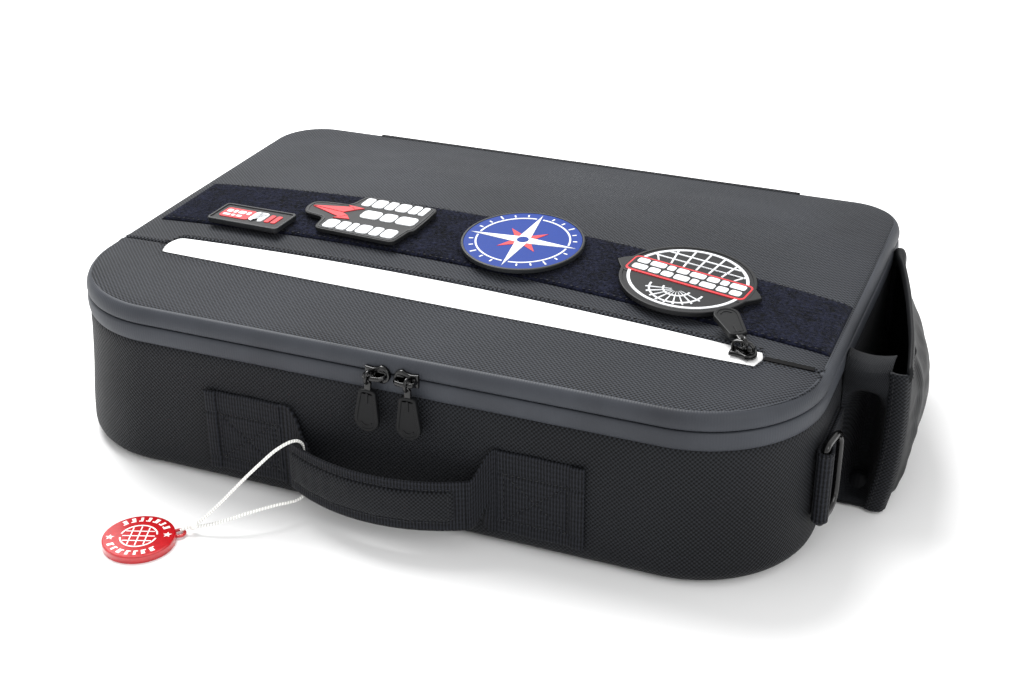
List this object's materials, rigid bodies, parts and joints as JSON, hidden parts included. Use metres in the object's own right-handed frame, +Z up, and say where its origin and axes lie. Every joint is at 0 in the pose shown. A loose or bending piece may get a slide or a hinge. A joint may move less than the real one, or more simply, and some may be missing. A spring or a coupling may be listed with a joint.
{
  "type": "flight bag",
  "caption": "Low padded flight bag with a zipped crowned lid, loop display strip with patches, lid pocket, carry handle, D-rings, bellows side pocket and a round tag on a cord.",
  "frame": {"origin": "centre of the bag's underside", "axes": "+X to the bag's right along its front, +Y towards the lid's hinge, +Z up through the lid"},
  "size_m": [0.4453, 0.357, 0.1106],
  "materials": {
    "ballistic_nylon": "woven ballistic nylon, matt with a fine glint",
    "coated_zip_tape": "satin polyurethane-coated zip tape",
    "zip_coil": "nylon coil",
    "webbing": "ribbed polypropylene webbing",
    "foam": "closed-cell EVA foam",
    "lining": "brushed tricot lining",
    "pocket_lining": "plain woven polyester",
    "white_zip_tape": "smooth white coated tape",
    "loop_pile": "napped loop pile",
    "hook_tape": "moulded hooks",
    "patch_dark": "moulded soft PVC, raised border",
    "patch_blue": "moulded soft PVC with printed star and ring",
    "slider_metal": "gloss black lacquered zinc casting",
    "puller_rubber": "matt moulded rubber over a steel tab",
    "coated_fabric": "smooth polyurethane-coated nylon",
    "tag_plastic": "glossy red acrylic with white print",
    "cord_elastic": "white braided elastic"
  },
  "bodies": {
    "bag": {"base_panel": "ballistic_nylon", "base_foam": "foam", "base_lining": "lining", "side_wall": "ballistic_nylon", "wall_foam": "foam", "wall_lining": "lining", "lower_zip_tape": "coated_zip_tape", "lower_zip_coil": "zip_coil", "rear_hinge_lower": "ballistic_nylon", "handle_anchor_left": "webbing", "handle_anchor_right": "webbing", "handle_leg_left": "webbing", "handle_leg_right": "webbing", "d_ring_tab_left": "webbing", "d_ring_tab_right": "webbing", "side_pocket_front_gusset": "ballistic_nylon", "side_pocket_bottom_gusset": "ballistic_nylon", "tag_knot": "cord_elastic", "tag_cord": "cord_elastic", "tag_cord_return": "cord_elastic"},
    "lid": {"rear_hinge_upper": "ballistic_nylon", "upper_zip_tape": "coated_zip_tape", "upper_zip_coil": "zip_coil", "lid_front_panel": "ballistic_nylon", "lid_rear_panel": "ballistic_nylon", "lid_foam": "foam", "lid_lining": "lining", "pocket_lining": "pocket_lining", "pocket_zip_tape": "white_zip_tape", "pocket_zip_tail": "zip_coil", "loop_strip": "loop_pile"},
    "bar_patch_set": {"bar_patch": "patch_dark", "bar_patch_hook": "hook_tape"},
    "dart_patch_set": {"dart_patch": "patch_dark", "dart_patch_hook": "hook_tape"},
    "compass_patch_set": {"compass_patch": "patch_blue", "compass_patch_hook": "hook_tape"},
    "globe_patch_set": {"globe_patch": "patch_dark", "globe_patch_hook": "hook_tape"},
    "left_slider": {"left_slider_body": "slider_metal"},
    "left_pull": {"left_pull_link": "slider_metal", "left_puller": "puller_rubber"},
    "right_slider": {"right_slider_body": "slider_metal"},
    "right_pull": {"right_pull_link": "slider_metal", "right_puller": "puller_rubber"},
    "pocket_slider": {"pocket_slider_body": "slider_metal"},
    "pocket_pull": {"pocket_pull_link": "slider_metal", "pocket_puller": "puller_rubber"},
    "handle": {"handle_strap": "webbing", "handle_grip": "ballistic_nylon"},
    "left_ring": {"d_ring_left": "slider_metal"},
    "right_ring": {"d_ring_right": "slider_metal"},
    "side_pocket": {"side_pocket_panel": "coated_fabric", "side_pocket_hem": "coated_fabric"},
    "tag": {"tag_disc": "tag_plastic"}
  },
  "joints": [
    {"name": "lid_hinge", "type": "hinge", "parent": "bag", "child": "lid", "pos_m": [0, 0.1386, 0.0847], "axis": [-1, 0, 0], "range_deg": [0, 170]},
    {"name": "left_slider_run", "type": "slide", "parent": "bag", "child": "left_slider", "axis": [1, 0, 0], "range_m": [-0.128, 0]},
    {"name": "right_slider_run", "type": "slide", "parent": "bag", "child": "right_slider", "axis": [1, 0, 0], "range_m": [0, 0.118]},
    {"name": "left_pull_swing", "type": "hinge", "parent": "left_slider", "child": "left_pull", "pos_m": [-0.0055, -0.1446, 0.0847], "axis": [-1, 0, 0], "range_deg": [0, 150]},
    {"name": "right_pull_swing", "type": "hinge", "parent": "right_slider", "child": "right_pull", "pos_m": [0.0152, -0.1446, 0.0847], "axis": [-1, 0, 0], "range_deg": [0, 150]},
    {"name": "pocket_slider_run", "type": "hinge", "parent": "lid", "child": "pocket_slider", "pos_m": [-0.00402, 0.00392, -5.70929], "axis": [-0.0344, -0.9993, -0.013], "range_deg": [0, 3.12]},
    {"name": "pocket_pull_swing", "type": "hinge", "parent": "pocket_slider", "child": "pocket_pull", "pos_m": [0.15916, -0.07744, 0.10209], "axis": [0.9991, -0.0344, -0.0247], "range_deg": [0, 150]},
    {"name": "handle_swing", "type": "hinge", "parent": "bag", "child": "handle", "pos_m": [0, -0.1396, 0.033], "axis": [-1, 0, 0], "range_deg": [0, 40], "deforming": ["handle_leg_left", "handle_leg_right", "tag_cord", "tag_cord_return"]},
    {"name": "left_ring_swing", "type": "hinge", "parent": "bag", "child": "left_ring", "pos_m": [-0.2041, 0.09, 0.041], "axis": [0, 0, 1], "range_deg": [-132, 0]},
    {"name": "right_ring_swing", "type": "hinge", "parent": "bag", "child": "right_ring", "pos_m": [0.2041, -0.09, 0.041], "axis": [0, 0, 1], "range_deg": [-132, 0]},
    {"name": "side_pocket_swing", "type": "hinge", "parent": "bag", "child": "side_pocket", "pos_m": [0.203, 0.098, 0.043], "axis": [0, 0, 1], "range_deg": [-11, 8], "deforming": ["side_pocket_front_gusset", "side_pocket_bottom_gusset"]},
    {"name": "tag_flip", "type": "hinge", "parent": "bag", "child": "tag", "pos_m": [-0.092, -0.1885, 0.0015], "axis": [-0.6402, 0.7682, 0], "range_deg": [0, 100]},
    {"name": "bar_patch_peel", "type": "slide", "parent": "lid", "child": "bar_patch_set", "axis": [0, 0, 1], "range_m": [0, 0.03]},
    {"name": "dart_patch_peel", "type": "slide", "parent": "lid", "child": "dart_patch_set", "axis": [0, 0, 1], "range_m": [0, 0.03]},
    {"name": "compass_patch_peel", "type": "slide", "parent": "lid", "child": "compass_patch_set", "axis": [0, 0, 1], "range_m": [0, 0.03]},
    {"name": "globe_patch_peel", "type": "slide", "parent": "lid", "child": "globe_patch_set", "axis": [0, 0, 1], "range_m": [0, 0.03]}
  ]
}
